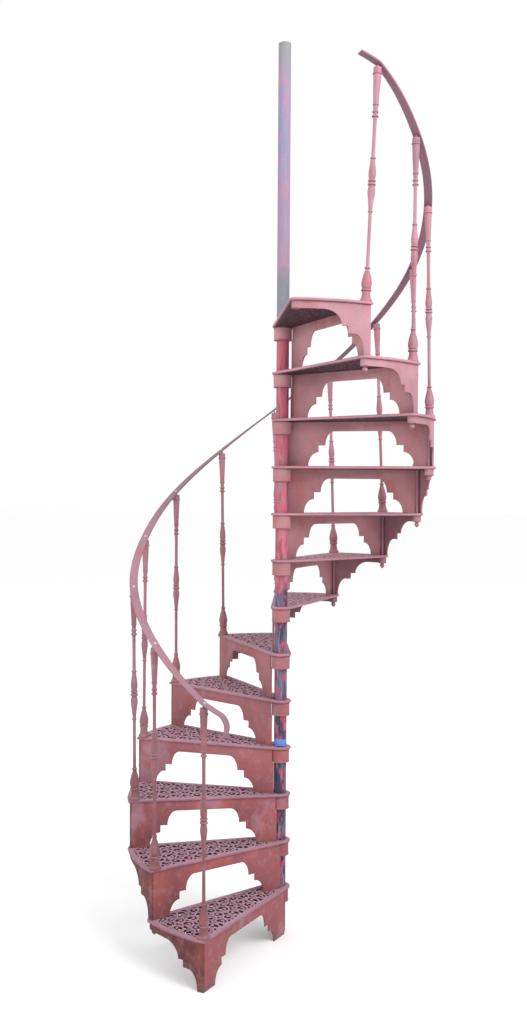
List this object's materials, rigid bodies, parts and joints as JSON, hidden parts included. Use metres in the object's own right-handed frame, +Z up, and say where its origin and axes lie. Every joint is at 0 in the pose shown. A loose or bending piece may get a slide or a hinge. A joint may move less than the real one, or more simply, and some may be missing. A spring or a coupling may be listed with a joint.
{
  "type": "spiral staircase",
  "caption": "Antique cast-iron spiral staircase: pierced wedge treads with arched risers round a central pole, turned balusters and a flat rising handrail.",
  "frame": {"origin": "on the pole's axis at the floor, the centre of the pole's foot", "axes": "+Z up along the pole; -Y towards the side where the first and the last step are seen; the flight climbs clockwise seen from above, starting at the front left"},
  "size_m": [1.364, 1.3619, 3.98],
  "materials": {
    "pole_paint": "worn mottled paint, matt",
    "tread_paint": "worn red-oxide paint, matt",
    "riser_paint": "worn red-oxide paint, matt",
    "fascia_paint": "worn red-oxide paint, matt",
    "baluster_paint": "faded pink paint over iron, matt",
    "rail_paint": "faded pink paint over iron bar, matt"
  },
  "bodies": {
    "root": {"pole": "pole_paint", "collars": "tread_paint", "balusters": "baluster_paint", "handrail": "rail_paint", "tread_01": "tread_paint", "tread_02": "tread_paint", "tread_03": "tread_paint", "tread_04": "tread_paint", "tread_05": "tread_paint", "tread_06": "tread_paint", "tread_07": "tread_paint", "tread_08": "tread_paint", "tread_09": "tread_paint", "tread_10": "tread_paint", "tread_11": "tread_paint", "tread_12": "tread_paint", "tread_13": "tread_paint", "riser_01": "riser_paint", "riser_02": "riser_paint", "riser_03": "riser_paint", "riser_04": "riser_paint", "riser_05": "riser_paint", "riser_06": "riser_paint", "riser_07": "riser_paint", "riser_08": "riser_paint", "riser_09": "riser_paint", "riser_10": "riser_paint", "riser_11": "riser_paint", "riser_12": "riser_paint", "riser_13": "riser_paint", "fascia_01": "fascia_paint", "fascia_02": "fascia_paint", "fascia_03": "fascia_paint", "fascia_04": "fascia_paint", "fascia_05": "fascia_paint", "fascia_06": "fascia_paint", "fascia_07": "fascia_paint", "fascia_08": "fascia_paint", "fascia_09": "fascia_paint", "fascia_10": "fascia_paint", "fascia_11": "fascia_paint", "fascia_12": "fascia_paint", "fascia_13": "fascia_paint"}
  },
  "joints": []
}
